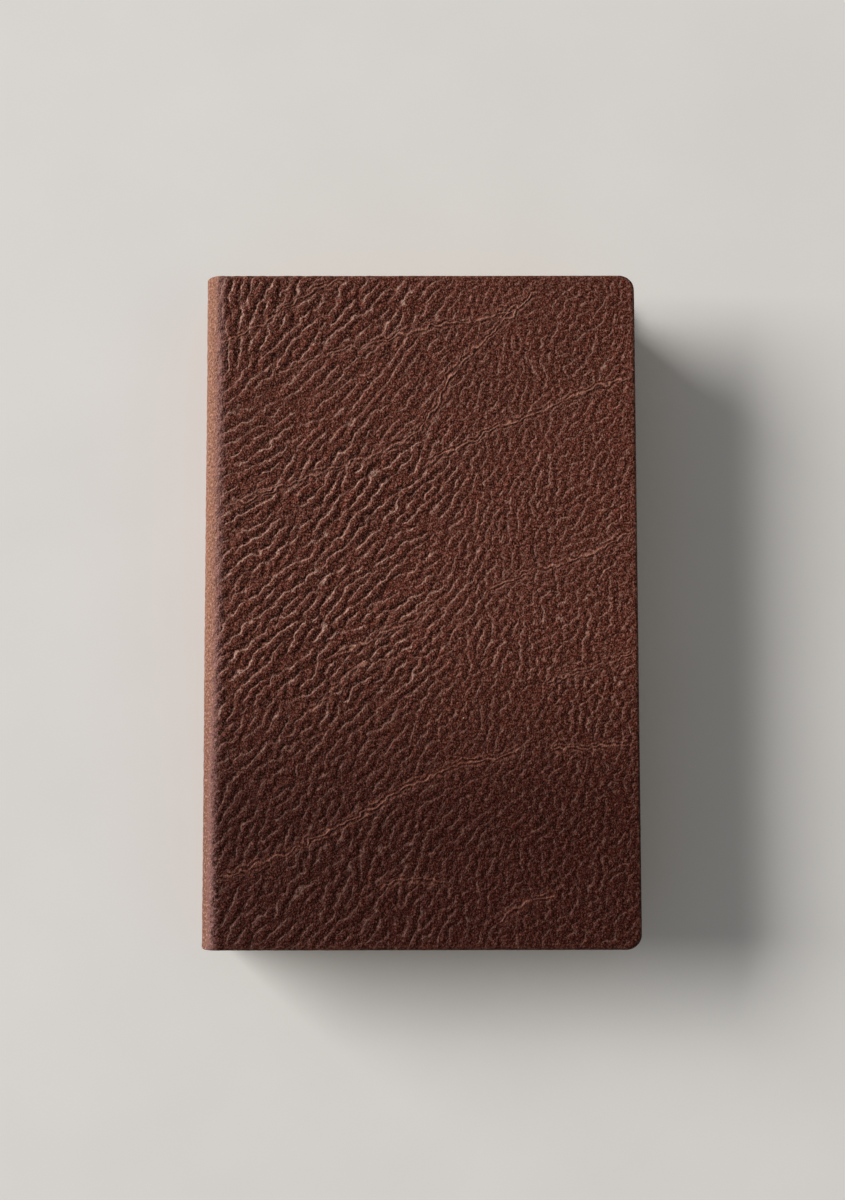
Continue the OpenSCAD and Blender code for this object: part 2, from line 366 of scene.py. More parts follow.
def band_noise(wavelength, spread, seed):
    """Even noise on the lattice whose detail is about one wavelength in size, in mm."""
    rough = np.random.default_rng(seed).normal(size=RUN.shape)
    fy = np.fft.fftfreq(RUN.shape[0], lattice_step)[:, None]
    fx = np.fft.rfftfreq(RUN.shape[1], lattice_step)[None, :]
    pitch = np.hypot(fx, fy) * wavelength
    keep = np.exp(-((pitch - 1) / spread) ** 2)
    made = np.fft.irfft2(np.fft.rfft2(rough) * keep, s=RUN.shape)
    return made / made.std()

def sample(field, run, high):
    """A lattice field at places on the leather."""
    c = np.clip((np.asarray(run) - lattice_run[0]) / lattice_step, 0, len(lattice_run) - 1.001)
    r = np.clip((np.asarray(high) - lattice_y[0]) / lattice_step, 0, len(lattice_y) - 1.001)
    c0, r0 = c.astype(int), r.astype(int)
    fc, fr = c - c0, r - r0
    top = field[r0, c0] * (1 - fc) + field[r0, c0 + 1] * fc
    low = field[r0 + 1, c0] * (1 - fc) + field[r0 + 1, c0 + 1] * fc
    return top * (1 - fr) + low * fr

slow_noise = band_noise(60, 0.6, 5)
bump_noise = band_noise(4.5, 0.35, 21)
cell_noise = band_noise(2.4, 0.35, 2)
print("lattice of the leather:", RUN.shape)

# %% Lean and spacing of the wrinkles
def across(run):
    """0 at the spine edge of a cover and 1 at its fore-edge, for either cover."""
    t = np.minimum(run, wrap_run - run)
    return 1 - np.clip(t / flat_run, 0, 1.2)

def wrinkle_lean(run, high):
    """Lean of the wrinkles on the cover, in degrees above the line from spine to fore-edge."""
    u = across(run)
    v = (high + half_h) / (2 * half_h)
    lean = 43 + 24 * np.exp(-((u - 0.69) / 0.19) ** 2) + 14 * smooth(0.78, 1.0, u)
    lean = lean + 15 * (1 - smooth(0.1, 0.35, v)) * (1 - smooth(0.3, 0.6, u))
    lean = lean + 34 * smooth(0.76, 0.94, v) * (1 - smooth(0.05, 0.32, u))
    return lean + 8 * sample(slow_noise, run, high)

def lean_spread(run, high):
    """How much the wrinkles stray from their lean: little by the spine, more at the fore-edge."""
    return 11 + 17 * smooth(0.4, 0.8, across(run)) + 8 * smooth(20, -60, high)

def wrinkle_spacing(run):
    """Distance in mm from one wrinkle to the next: finer towards the fore-edge."""
    return 3.55 - 0.55 * smooth(0.35, 0.62, across(run))

print("lean of the wrinkles in the middle of the cover:", round(float(wrinkle_lean(flat_run / 2, 0))))

# %% Short waves laid at random
wave_count = 17000
wave_long = 3.8
wave_wide = 1.9
spacing_spread = 0.11

def lay_waves(seed):
    """The two parts, cosine and sine, of the wrinkles' phase on the lattice."""
    chance = np.random.default_rng(seed)
    run = chance.uniform(lattice_run[0], lattice_run[-1], wave_count)
    high = chance.uniform(lattice_y[0], lattice_y[-1], wave_count)
    start = chance.uniform(0, 2 * np.pi, wave_count)
    lean = np.radians(wrinkle_lean(run, high) + chance.normal(0, 1, wave_count) * lean_spread(run, high))
    spacing = wrinkle_spacing(run) * np.exp(chance.normal(0, spacing_spread, wave_count))
    cosine, sine = np.zeros(RUN.shape), np.zeros(RUN.shape)
    reach = int(2.7 * wave_long / lattice_step)
    for i in range(wave_count):
        c = int((run[i] - lattice_run[0]) / lattice_step)
        r = int((high[i] - lattice_y[0]) / lattice_step)
        rows = slice(max(r - reach, 0), r + reach)
        columns = slice(max(c - reach, 0), c + reach)
        dx = run[i] - RUN[rows, columns]
        dy = HIGH[rows, columns] - high[i]
        a = dx * math.cos(lean[i]) + dy * math.sin(lean[i])
        b = dy * math.cos(lean[i]) - dx * math.sin(lean[i])
        weight = np.exp(-(a / wave_long) ** 2 / 2 - (b / wave_wide) ** 2 / 2)
        phase = 2 * np.pi * b / spacing[i] + start[i]
        cosine[rows, columns] += weight * np.cos(phase)
        sine[rows, columns] += weight * np.sin(phase)
    return cosine, sine

wave_cos, wave_sin = lay_waves(11)
wave_size = np.hypot(wave_cos, wave_sin)
phase_shift = 0.4 * bump_noise + 0.2 * cell_noise
wave_phase = np.arctan2(wave_sin, wave_cos) + phase_shift
wave_strength = smooth(0.1, 1.1, wave_size / np.median(wave_size))
print("waves laid:", wave_count)

# %% [markdown]
# ## The creases
# Longer creases cross the wrinkles where the leather was folded or stretched. Each is named by the
# points that it passes in the picture, put on the cover through the camera. A crease is kept as the
# distance to its line and how strong it is there, which stays sharp however coarse the mesh is.

# %% Crease lines
creases = {
    "head_left": (0.7, [(221, 344), (248, 331), (280, 313), (312, 291), (347, 278)]),
    "head_long": (0.8, [(280, 376), (336, 350), (371, 344), (412, 331), (441, 324), (477, 321),
                        (506, 312), (541, 291)]),
    "head_sweep": (1.0, [(221, 510), (298, 481), (333, 467), (383, 453), (412, 435), (430, 420),
                         (444, 391), (453, 371), (477, 347), (518, 309), (544, 283)]),
    "upper_right": (1.0, [(421, 470), (438, 456), (474, 441), (485, 431), (515, 422), (547, 409),
                          (576, 395), (606, 384), (632, 376)]),
    "middle_right": (0.8, [(488, 591), (526, 573), (559, 564), (591, 554), (617, 539), (635, 530)]),
    "middle": (0.8, [(336, 656), (359, 647), (383, 632), (412, 623), (438, 600)]),
    "middle_low": (0.6, [(309, 714), (336, 685), (353, 670), (371, 663), (400, 657)]),
    "tail_long": (1.0, [(218, 880), (251, 867), (292, 851), (327, 832), (359, 817), (383, 802),
                        (409, 785), (433, 776), (459, 764), (482, 760), (506, 758), (526, 744)]),
    "tail_right": (0.7, [(553, 750), (591, 747), (629, 744)]),
    "fore_edge": (0.8, [(547, 682), (576, 673), (606, 664), (635, 651)]),
    "tail_short": (0.7, [(500, 923), (512, 911), (532, 899), (556, 895)]),
    "tail_mark": (0.6, [(383, 890), (389, 882), (418, 879), (447, 882)]),
}

def rounded_path(points, rounds=3):
    """The path with its corners cut again and again, so that it bends smoothly."""
    for _ in range(rounds):
        near = points[:-1] * 0.75 + points[1:] * 0.25
        far = points[:-1] * 0.25 + points[1:] * 0.75
        cut = np.stack([near, far], 1).reshape(-1, 2)
        points = np.vstack([points[:1], cut, points[-1:]])
    return points

print("creases:", len(creases))

# %% Distance to the nearest crease
crease_reach = 5.0
crease_gap = np.full(RUN.shape, crease_reach)
crease_side = np.zeros(RUN.shape)
crease_power = np.zeros(RUN.shape)
for power, pixels in creases.values():
    line = on_cover(pixels)
    line[:, 0] = fore_x - edge_r - line[:, 0]
    line = rounded_path(line)
    steps = len(line) - 1
    for i in range(steps):
        start, end = line[i], line[i + 1]
        low = np.minimum(start, end) - crease_reach
        high = np.maximum(start, end) + crease_reach
        columns = slice(*np.searchsorted(lattice_run, (low[0], high[0])))
        rows = slice(*np.searchsorted(lattice_y, (low[1], high[1])))
        span = end - start
        dx, dy = RUN[rows, columns] - start[0], HIGH[rows, columns] - start[1]
        t = np.clip((dx * span[0] + dy * span[1]) / (span @ span), 0, 1)
        gap = np.hypot(dx - t * span[0], dy - t * span[1])
        nearer = gap < crease_gap[rows, columns]
        side = np.sign(span[0] * dy - span[1] * dx)
        place = (i + t) / steps
        strong = power * smooth(0, 0.1, place) * (1 - smooth(0.9, 1, place))
        crease_gap[rows, columns][nearer] = gap[nearer]
        crease_side[rows, columns][nearer] = side[nearer]
        crease_power[rows, columns][nearer] = strong[nearer]
crease_power *= 1 - smooth(2.5, crease_reach, crease_gap)
crease_line = crease_gap * crease_side + 0.25 * bump_noise
print("share of the leather near a crease:", round(float((crease_power > 0).mean()), 3))

# %% Depth of the grain over the leather
def grain_depth(run, high):
    """How deep the wrinkles are: deepest by the spine side of the middle, shallow at the fore-edge."""
    u = across(run)
    v = (high + half_h) / (2 * half_h)
    depth = 1.12 - 0.52 * smooth(0.3, 0.7, u) * (1 - 0.5 * smooth(10, -60, high))
    depth = depth * (0.85 + 0.25 * np.exp(-((v - 0.5) / 0.25) ** 2))
    depth = depth * (1 + 0.12 * sample(slow_noise, high + 60, run * 0.5))
    depth = depth * (1 - 0.22 * smooth(10, -70, high))
    return depth * (1 - 0.45 * smooth(0.5, 0.53, run / wrap_run))

def calm(run, high):
    """Lower relief where hands have worn the leather: on the shoulders, the spine and the rims."""
    past = np.minimum(run, wrap_run - run) - flat_run
    worn = 1 - 0.72 * smooth(0.5, 3.5, past) * (1 - 0.5 * smooth(8, 16, past))
    from_rim = np.minimum(rim_y - np.abs(high), np.minimum(run, wrap_run - run))
    return worn * (0.35 + 0.65 * smooth(-0.8, 2.2, from_rim))

calm_field = calm(RUN, HIGH)
depth_field = grain_depth(RUN, HIGH) * (1 - 0.7 * crease_power * np.exp(-(crease_line / 1.4) ** 2))
ridge = np.abs(np.cos(wave_phase / 2))
ridge_height = 0.44
cell_height = 0.07
crease_height = 0.25
relief_field = calm_field * (
    depth_field * (ridge_height * ridge * wave_strength + cell_height * cell_noise)
    + crease_height * crease_power * np.exp(-(crease_line / 1.1) ** 2))
relief_top = (relief_field / calm_field).max()
print("relief in mm, from low to high:", np.round(np.percentile(relief_field, (1, 50, 99)), 2))

# %% [markdown]
# ## The leather skin
# A bookbinder pares the leather thin along its edges, rolls it over the boards and turns it in
# underneath, with a mitre at each corner. The skin starts as a flat grid, is bent round the path,
# and its rim is then extruded ring by ring through the section of the turned-in edge.
# One skin would have to bend at two hinges at once, and a blend works across one joint only, so it
# is made in two. Their seam is hidden on the lower shoulder, just before the back joint.

# %% Sections of the turned-in edge
def roll(u, v, radius, steps, first=0.0, last=90.0):
    """Points round a rolled edge, as (outwards, inwards, outward part and top part of the normal)."""
    rows = []
    for i in range(1, steps + 1):
        a = math.radians(first + (last - first) * i / steps)
        rows.append((u + radius * math.sin(a), v + radius * (1 - math.cos(a)),
                     math.sin(a), math.cos(a)))
    return rows

rim_in = edge_r - leather_t
roll_end = -2.4
cover_rim = np.array(
    roll(0, 0, edge_r, 5)
    + [(edge_r, wrap_t / 2, 1, 0), (edge_r, wrap_t - edge_r, 1, 0)]
    + roll(0, wrap_t - 2 * edge_r, edge_r, 3, 90, 180)
    + [(roll_end, wrap_t, 0, -1), (edge_r - turnin_w, wrap_t, 0, -1),
       (edge_r - turnin_w, wrap_t - turnin_t, 0, 0), (rim_in, wrap_t - turnin_t, 0, 0),
       (rim_in, leather_t, 0, 0)])
fold_r = 0.7
fold_gap = 0.06
fold_t = 2 * fold_r + fold_gap
fold_reach = -12
fold_inside = 1.1
joint_rim = np.array(
    roll(edge_r - fold_r, 0, fold_r, 5)
    + [(edge_r, fold_r + fold_gap / 3, 1, 0), (edge_r, fold_r + 2 * fold_gap / 3, 1, 0)]
    + roll(edge_r - fold_r, fold_gap, fold_r, 3, 90, 180)
    + [(roll_end, fold_t, 0, -1), (fold_reach, fold_t, 0, -1), (fold_reach, fold_inside, 0, 0),
       (rim_in, fold_inside, 0, 0), (rim_in, leather_t, 0, 0)])
cap_depth = 4.0
cap_r = 0.8
cap_rim = np.array(
    roll(edge_r - cap_r, 0, cap_r, 5)
    + [(edge_r, 1.6, 1, 0), (edge_r, 2.6, 1, 0), (edge_r, 3.4, 1, 0), (edge_r - 0.2, 3.85, 0.7, -0.7),
       (edge_r - 0.5, cap_depth, 0, -1), (rim_in, cap_depth, 0, -1), (rim_in, 2.1, 0, 0),
       (-12.6, 2.0, 0, 0), (-12.6, 1.6, 0, 0), (rim_in, leather_t, 0, 0)])
rim_rings = len(cover_rim)
print("rings in a rim:", rim_rings, len(joint_rim), len(cap_rim))

# %% Rounding the corners of the flat grid
corner_in = corner_r - edge_r

def round_corner(gap, high):
    """Bends the square corners of the flat grid into the round corners of a cover.
    gap is the distance from the fore-edge rim. Returns both, and the direction out of the rim."""
    a = np.clip((corner_in - gap) / corner_in, 0, None)
    b = np.clip((np.abs(high) - rim_y + corner_in) / corner_in, 0, None)
    both = (a > 0) & (b > 0)
    side = np.sign(high)
    a_round = np.where(both, a * np.sqrt(1 - b * b / 2), a)
    b_round = np.where(both, b * np.sqrt(1 - a * a / 2), b)
    new_gap = np.where(both, corner_in * (1 - a_round), gap)
    new_high = np.where(both, side * (rim_y - corner_in + corner_in * b_round), high)
    nearly = 1 - 1e-6
    out_gap = np.where(both, -a_round, np.where(a > nearly, -1.0, 0.0))
    out_high = np.where(both, side * b_round, np.where(b > nearly, side, 0.0))
    size = np.maximum(np.hypot(out_gap, out_high), 1e-9)
    return new_gap, new_high, out_gap / size, out_high / size

def rim_section(run):
    """The section of the edge at that run: board edge, folded joint, shoulder or cap."""
    past = np.minimum(run, wrap_run - run) - flat_run
    joint = smooth(-0.35, 0.15, past)[..., None, None]
    cap = smooth(3.5, 7.0, past)[..., None, None]
    rows = cover_rim * (1 - joint) + joint_rim * joint
    return rows * (1 - cap) + cap_rim * cap

print("radius of the rim at a corner, in mm:", round(corner_in, 2))

# %% Rings of the rim
def extrude_rings(bm):
    """Extrudes every rim but the seam, ring by ring. Returns the vertices of each ring, the last
    rim, and the layer that says from which vertex of the grid each one came."""
    source = bm.verts.layers.int.new("source")
    for i, vertex in enumerate(bm.verts):
        vertex[source] = i
    at_seam = [v.co.x < -1 + 1e-6 for v in bm.verts]
    rim = [e for e in bm.edges if e.is_boundary and not all(at_seam[v[source]] for v in e.verts)]
    rings = [list(bm.verts)]
    for _ in range(rim_rings):
        made = bmesh.ops.extrude_edge_only(bm, edges=rim)["geom"]
        fresh = {g for g in made if isinstance(g, bmesh.types.BMVert)}
        rim = [g for g in made if isinstance(g, bmesh.types.BMEdge)
               and g.verts[0] in fresh and g.verts[1] in fresh]
        rings.append(list(fresh))
    return rings, rim, source

def ring_section(k, run):
    """How far ring k lies outwards and inwards, its normal, and the arc of leather up to it."""
    if k == 0:
        none = np.zeros(len(run))
        return none, none, none, none + 1, none
    rows = rim_section(run)
    steps = np.diff(rows[:, :k, :2], axis=1, prepend=0)
    arc = np.hypot(steps[..., 0], steps[..., 1]).sum(1)
    return *(rows[:, k - 1, c] for c in range(4)), arc

def close_skin(bm, rim, source, out_high):
    """Bridges the hidden face against the boards from head to tail, then caps both ends."""
    head = [e for e in rim if all(out_high[v[source]] > 0.999 for v in e.verts)]
    tail = [e for e in rim if all(out_high[v[source]] < -0.999 for v in e.verts)]
    bmesh.ops.bridge_loops(bm, edges=head + tail)
    bmesh.ops.holes_fill(bm, edges=[e for e in bm.edges if e.is_boundary], sides=0)
    bmesh.ops.recalc_face_normals(bm, faces=bm.faces)
    bm.verts.index_update()

arc_at_fore_edge = ring_section(rim_rings, np.zeros(1))[4][0]
print("leather in the section of the fore-edge, in mm:", round(float(arc_at_fore_edge), 1))

# %% Build a skin
mitre_reach = 50.0
mitre_depth = 0.35
mitre_arc = 0.25
mitre_rings = range(10, 13)
seam_before_hinge = 1.5
seam_run = wrap_run - flat_run - seam_before_hinge

def leather_skin(front, spacing):
    """The leather from one fore-edge to the hidden seam, as a closed shell, with the place of each
    vertex on the flat leather."""
    turn = 1 if front else -1
    skin_run = seam_run if front else wrap_run - seam_run
    bm = bmesh.new()
    bmesh.ops.create_grid(bm, x_segments=round(skin_run / spacing),
                          y_segments=round(2 * rim_y / spacing), size=1)
    grid = np.array([v.co[:2] for v in bm.verts])
    gap, high, out_gap, out_high = round_corner(skin_run * (1 - grid[:, 0]) / 2,
                                                turn * rim_y * grid[:, 1])
    run = gap if front else wrap_run - gap
    out_run = turn * out_gap
    in_corner = (gap < corner_in) & (np.abs(high) > rim_y - corner_in)
    on_end = np.abs(out_high) > 0.5
    on_fore = np.abs(out_run) > 0.5
    on_mitre = in_corner & (np.abs(np.abs(out_run) - np.abs(out_high)) < 0.02)
    from_fore = 1 - smooth(corner_in, mitre_reach, gap)
    from_end = 1 - smooth(corner_in, mitre_reach, rim_y - np.abs(high))

    rings, rim, source = extrude_rings(bm)
    places = []
    for k, verts in enumerate(rings):
        i = np.array([v[source] for v in verts])
        u, w, n_u, n_w, arc = ring_section(k, run[i])
        # A ring that reaches in past a corner's centre is drawn together into a mitre
        draw_in = np.maximum(0, mitre_arc - corner_in - u)
        run_now = run[i] + turn * np.where(in_corner[i] | on_end[i], draw_in * from_fore[i], 0)
        high_now = high[i] - np.sign(high[i]) * np.where(
            in_corner[i] | on_fore[i], draw_in * from_end[i], 0)
        push = np.where(in_corner[i], u + draw_in, u)
        if k in mitre_rings:
            w = w - np.where(on_mitre[i], mitre_depth, 0)
        flat_place = np.stack([run[i] + out_run[i] * arc, high[i] + out_high[i] * arc, w], 1)
        height = sample(relief_field, flat_place[:, 0], flat_place[:, 1])
        # The relief is sunk by 0.3 of its greatest height, and wholly where the book lies on it
        sunk = relief_top * calm(flat_place[:, 0], flat_place[:, 1])
        sunk = sunk * (0.3 + 0.7 * smooth(0.38, 0.5, flat_place[:, 0] / wrap_run))
        height = (height - sunk) * np.clip(n_w + 0.3, 0, 1)
        centre, along, out = wrap_point(run_now)
        out_push = push + n_u * height
        lift = n_w * height - w
        across_run = out_run[i] * out_push
        x, z = (centre + along * across_run[:, None] + out * lift[:, None]).T
        y = high_now + out_high[i] * out_push
        for vertex, co in zip(verts, np.stack([x, y, z], 1)):
            vertex.co = co
        places.append((verts, flat_place))

    close_skin(bm, rim, source, out_high)
    flat = np.zeros((len(bm.verts), 3))
    for verts, flat_place in places:
        flat[[v.index for v in verts]] = flat_place
    bm.verts.layers.int.remove(source)
    print("skin faces:", len(bm.faces), "open edges:", sum(not e.is_manifold for e in bm.edges))
    return bm, flat

# %% Grain stored with each vertex
def store(mesh, name, values):
    """Three numbers for each vertex, for the material to read."""
    layer = mesh.attributes.new(name, "FLOAT_VECTOR", "POINT")
    layer.data.foreach_set("vector", np.asarray(values, np.float32).ravel())

def store_grain(made, flat):
    """What the leather's material needs to draw the wrinkles and creases more finely than the mesh."""
    run, high = flat[:, 0], flat[:, 1]
    cosine = sample(np.cos(wave_phase) * wave_size, run, high)
    sine = sample(np.sin(wave_phase) * wave_size, run, high)
    size = np.maximum(np.hypot(cosine, sine), 1e-6)
    strength = sample(wave_strength * depth_field * calm_field, run, high)
    store(made.data, "leather_place", flat)
    store(made.data, "wrinkle", np.stack([cosine / size, sine / size, strength], 1))
    store(made.data, "crease", np.stack([sample(f, run, high) for f in (
        crease_line, crease_power, depth_field * calm_field)], 1))

# %% [markdown]
# ## Shared effects
# Dust, paper fibre and weave turn up in more than one finish. Each is built once as a node group
# with named inputs, and put in a material with its own values.

# %% Helpers for node groups
def new_group(name, inputs, outputs):
    group = bpy.data.node_groups.new(name, "ShaderNodeTree")
    for key, kind, value in inputs:
        socket = group.interface.new_socket(key, in_out="INPUT", socket_type="NodeSocket" + kind)
        if value is not None:
            socket.default_value = value
    for key, kind in outputs:
        group.interface.new_socket(key, in_out="OUTPUT", socket_type="NodeSocket" + kind)
    given = group.nodes.new("NodeGroupInput").outputs
    result = group.nodes.new("NodeGroupOutput").inputs
    return group, Recipe(group), given, result

def use_group(recipe, group, inputs):
    made = recipe.tree.nodes.new("ShaderNodeGroup")
    made.node_tree = group
    for key, value in inputs.items():
        recipe.feed(made.inputs[key], value)
    return made.outputs

# %% Dust specks
dust_specks, recipe, given, result = new_group(
    "dust_specks", [("Place", "Vector", None), ("Share", "Float", 0.05), ("Size", "Float", 0.2)],
    [("Mask", "Float")])
speck_cells = 0.16
cells = recipe.add("TexVoronoi", {"Vector": given["Place"], "Scale": speck_cells})
chance = recipe.add("SeparateColor", {"Color": cells["Color"]})[0]
kept = recipe.math("GREATER_THAN", recipe.plus(chance, given["Share"]), 1)
reach = recipe.times(given["Size"], speck_cells)
near = recipe.math("LESS_THAN", cells["Distance"], reach)
recipe.feed(result["Mask"], recipe.times(kept, near))
count_nodes(dust_specks)

# %% Paper fibre
paper_fibre, recipe, given, result = new_group(
    "paper_fibre", [("Place", "Vector", None), ("Paper", "Color", (0.8, 0.7, 0.5, 1)),
                    ("Stain", "Color", (0.4, 0.25, 0.1, 1)), ("Foxing", "Float", 0.4)],
    [("Color", "Color"), ("Height", "Float")])
cloud = recipe.noise(given["Place"], 0.035, 4, 0.6)
flecks = recipe.noise(given["Place"], 0.16, 3, 0.6, 0.6)
fibre = recipe.noise(given["Place"], 2.2, 3, 0.7, 1.5)
stained = recipe.times(given["Foxing"], recipe.ramp(cloud, 0.42, 0.75))
spotted = recipe.times(given["Foxing"], recipe.ramp(flecks, 0.66, 0.76))
paper_tone = recipe.mix(recipe.math("MAXIMUM", stained, spotted), given["Paper"], given["Stain"])
paper_tone = recipe.mix(recipe.ramp(fibre, 0.3, 0.7, 0, 0.12), paper_tone, given["Stain"])
recipe.feed(result["Color"], paper_tone)
recipe.feed(result["Height"], fibre)
count_nodes(paper_fibre)

# %% Weave
weave, recipe, given, result = new_group(
    "weave", [("Place", "Vector", None), ("Pitch", "Float", 1.0)],
    [("Height", "Float"), ("Mask", "Float")])
wave_turn = recipe.math("DIVIDE", 2 * math.pi, given["Pitch"])
axes = recipe.axes(given["Place"])
across_thread = recipe.math("SINE", recipe.times(recipe.plus(axes[0], axes[2]), wave_turn))
along_thread = recipe.math("SINE", recipe.times(axes[1], wave_turn))
woven = recipe.times(across_thread, along_thread)
recipe.feed(result["Height"], recipe.math("ABSOLUTE", woven))
recipe.feed(result["Mask"], recipe.ramp(woven, -0.5, 0.5))
count_nodes(weave)

# %% [markdown]
# ## The finish of the leather
# The side of each wrinkle that faces the lamp is painted pale, a painted highlight, and its other
# side, down by the valley, is painted dark, a painted shade. The mesh carries the broad relief. The finish
# rebuilds the ridges from their stored phase, so a thin pale line stays sharp between two vertices.
# Towards the tail to_tail makes the tone deeper, painted shade where the light falls off there,
# and pale_share takes the pale tones back.

# %% Ridges from their phase
leather, recipe, shader = new_material("worn_leather")
place = recipe.stored("leather_place")
place_run, place_high, _ = recipe.axes(place)
wrinkle = recipe.axes(recipe.stored("wrinkle"))
crease_far, crease_strong, fine_share = recipe.axes(recipe.stored("crease"))

wander = recipe.minus(recipe.noise(place, 0.9, 3, 0.6), 0.5)
phase = recipe.math("ARCTAN2", wrinkle[1], wrinkle[0])
phase = recipe.times_plus(wander, 2.6, phase)
from_crest = recipe.math("DIVIDE", recipe.math("PINGPONG", phase, math.pi), math.pi)
round_ridge = recipe.math("COSINE", recipe.times(from_crest, math.pi / 2))
side = recipe.math("DIVIDE", recipe.math("WRAP", phase, math.pi, -math.pi), math.pi)
half_phase = recipe.times_plus(wander, 5.0, recipe.times(phase, 2))
small_ridge = recipe.times_plus(recipe.math("COSINE", half_phase), 0.5, 0.5)
broken = recipe.ramp(recipe.noise(place, 0.35, 3, 0.6), 0.32, 0.6, 0.35, 1.2)
power = recipe.times(wrinkle[2], broken)
# A pale line on the side of each ridge that faces the lamp: a painted highlight
lit_flank = recipe.times(recipe.hill(recipe.minus(side, 0.7), 0.11), power)
# The dark on the side of each ridge turned away from the lamp, by the valley: a painted shade
shaded_flank = recipe.times(recipe.hill(recipe.plus(side, 0.88), 0.24), power)
# Darker towards the tail, painted shade where the light falls off; pale_share lessens the pale tones there
to_tail = recipe.ramp(place_high, 10, -75, 0, 0.88)
pale_share = recipe.times_plus(to_tail, -0.72, 1)
count_nodes(leather)

# %% [markdown]
# Between the wrinkles the hide has a pebble of cells a millimetre or two wide, with smaller pores
# in them. Real cells aren't even, so their pattern is stirred by a noise before it is read.
# Speckle and grit are two sizes of fine roughness, which catch the light and hold dirt.
# The gaps between cells and the pores are painted dark in the tone, a painted shade.

# %% Pebble in the leather
stir = recipe.scaled(recipe.noise(place, 0.4, 2, 0.5, output=1), 1.3)
stirred = recipe.add("VectorMath", {0: place, 1: stir}, operation="ADD")[0]

def gaps_between(scale, width):
    """1 in the gaps between scattered cells, 0 on the cells."""
    edge = recipe.add("TexVoronoi", {"Vector": stirred, "Scale": scale}, feature="DISTANCE_TO_EDGE")
    return recipe.ramp(edge["Distance"], 0.0, width, 1, 0)

pebble_gaps = gaps_between(0.55, 0.24)
pore_gaps = gaps_between(1.0, 0.30)
speckle = recipe.noise(place, 1.15, 2, 0.75)
grit = recipe.ramp(recipe.noise(place, 1.9, 1, 0.6), 0.3, 0.7)
fine_depth = recipe.times_plus(fine_share, 0.5, 0.5)
count_nodes(leather)

# %% [markdown]
# A crease in old leather isn't one cut but a band of short strands that run together and part.
# The stored distance to the crease line, made to drift, is folded into strands: a pale lip where
# the fold is, and a groove between two lips that is painted dark, a painted shade.

# %% Creases in the leather
drift = recipe.minus(recipe.noise(place, 0.22, 2, 0.5), 0.5)
strand_place = recipe.times_plus(drift, 4.0, recipe.times_plus(wander, 0.5, crease_far))
strand_pitch = 0.75
strand = recipe.math("PINGPONG", strand_place, strand_pitch)
patchy = recipe.ramp(recipe.noise(place, 0.24, 3, 0.6), 0.36, 0.58, 0.35, 1.3)
band = recipe.times(recipe.times(recipe.hill(crease_far, 1.4), crease_strong), patchy)
lips = recipe.times(recipe.hill(strand, 0.24), band)
groove = recipe.times(recipe.hill(recipe.minus(strand, strand_pitch), 0.22), band)
count_nodes(leather)

# %% Heights of the grain, in mm
height_parts = (
    (recipe.times(round_ridge, power), 0.26),
    (lit_flank, 0.09),
    (recipe.times(small_ridge, wrinkle[2]), 0.07),
    (recipe.times(pebble_gaps, fine_depth), -0.12),
    (recipe.times(pore_gaps, fine_depth), -0.10),
    (speckle, 0.42),
    (grit, 0.11),
    (lips, 0.28),
    (groove, -0.20),
)
height = 0.0
for part, amount in height_parts:
    height = recipe.times_plus(part, amount, height)
height = recipe.times(height, recipe.times_plus(to_tail, -0.15, 1))
print("parts of the height:", len(height_parts))

# %% Tones of the leather
slow_tone = recipe.noise(place, 0.022, 3, 0.55)
blotch = recipe.noise(place, 0.09, 3, 0.6)
lip_share = recipe.times_plus(pale_share, 0.4, 0.25)
skin_tone = recipe.coats(
    (100, 41, 27),
    (recipe.ramp(slow_tone, 0.3, 0.7), 1, (112, 50, 35)),
    (recipe.ramp(blotch, 0.35, 0.75), 0.35, (120, 48, 33)),
    # Painted shade: darker towards the tail, where the light falls off
    (to_tail, 1, (62, 11, 3)),
    (band, 0.4, (126, 52, 36)),
    # Painted shade on the side of each ridge turned away from the lamp
    (shaded_flank, 0.8, (20, 2, 0)),
    (recipe.ramp(grit, 0.5, 0), 0.75, (22, 3, 0)),
    (recipe.times(recipe.ramp(grit, 0.5, 1), 0.42), pale_share, (170, 122, 102)),
    # Painted shade in the gaps between cells and in the pores
    (pebble_gaps, 0.4, (26, 5, 2)),
    (pore_gaps, 0.35, (28, 6, 2)),
    (recipe.ramp(speckle, 0.5, 0.3), 0.85, (20, 2, 0)),
    (recipe.times(recipe.ramp(speckle, 0.52, 0.7), 0.56), pale_share, (170, 122, 102)),
    # Painted shade in the grooves of the creases
    (groove, 0.8, (26, 5, 2)),
    (lips, lip_share, (184, 132, 112)),
    # Painted highlight on the side of each ridge that faces the lamp
    (recipe.times(lit_flank, 0.56), pale_share, (198, 160, 144)),
)
count_nodes(leather)

# %% [markdown]
# The round shoulders of the spine are painted pale: partly wear from hands, partly painted sheen.
# The band starts just before the leather leaves the flat cover, with a frayed edge, and fades out
# over the middle of the spine, which hands hardly touch. Rims wear too, in patches, and a few specks
# of dust lie in the grain.

# %% Wear and painted sheen on the shoulders, wear on the rims
from_fore_edge = recipe.math("MINIMUM", place_run, recipe.minus(wrap_run, place_run))
fray = recipe.minus(recipe.noise(place, 0.5, 3, 0.7), 0.5)
past_frayed = recipe.times_plus(fray, 4.0, recipe.minus(from_fore_edge, flat_run))
past_frayed = recipe.times_plus(recipe.minus(speckle, 0.5), 6.0, past_frayed)
past_frayed = recipe.times_plus(to_tail, -2.0, recipe.plus(past_frayed, 1.5))
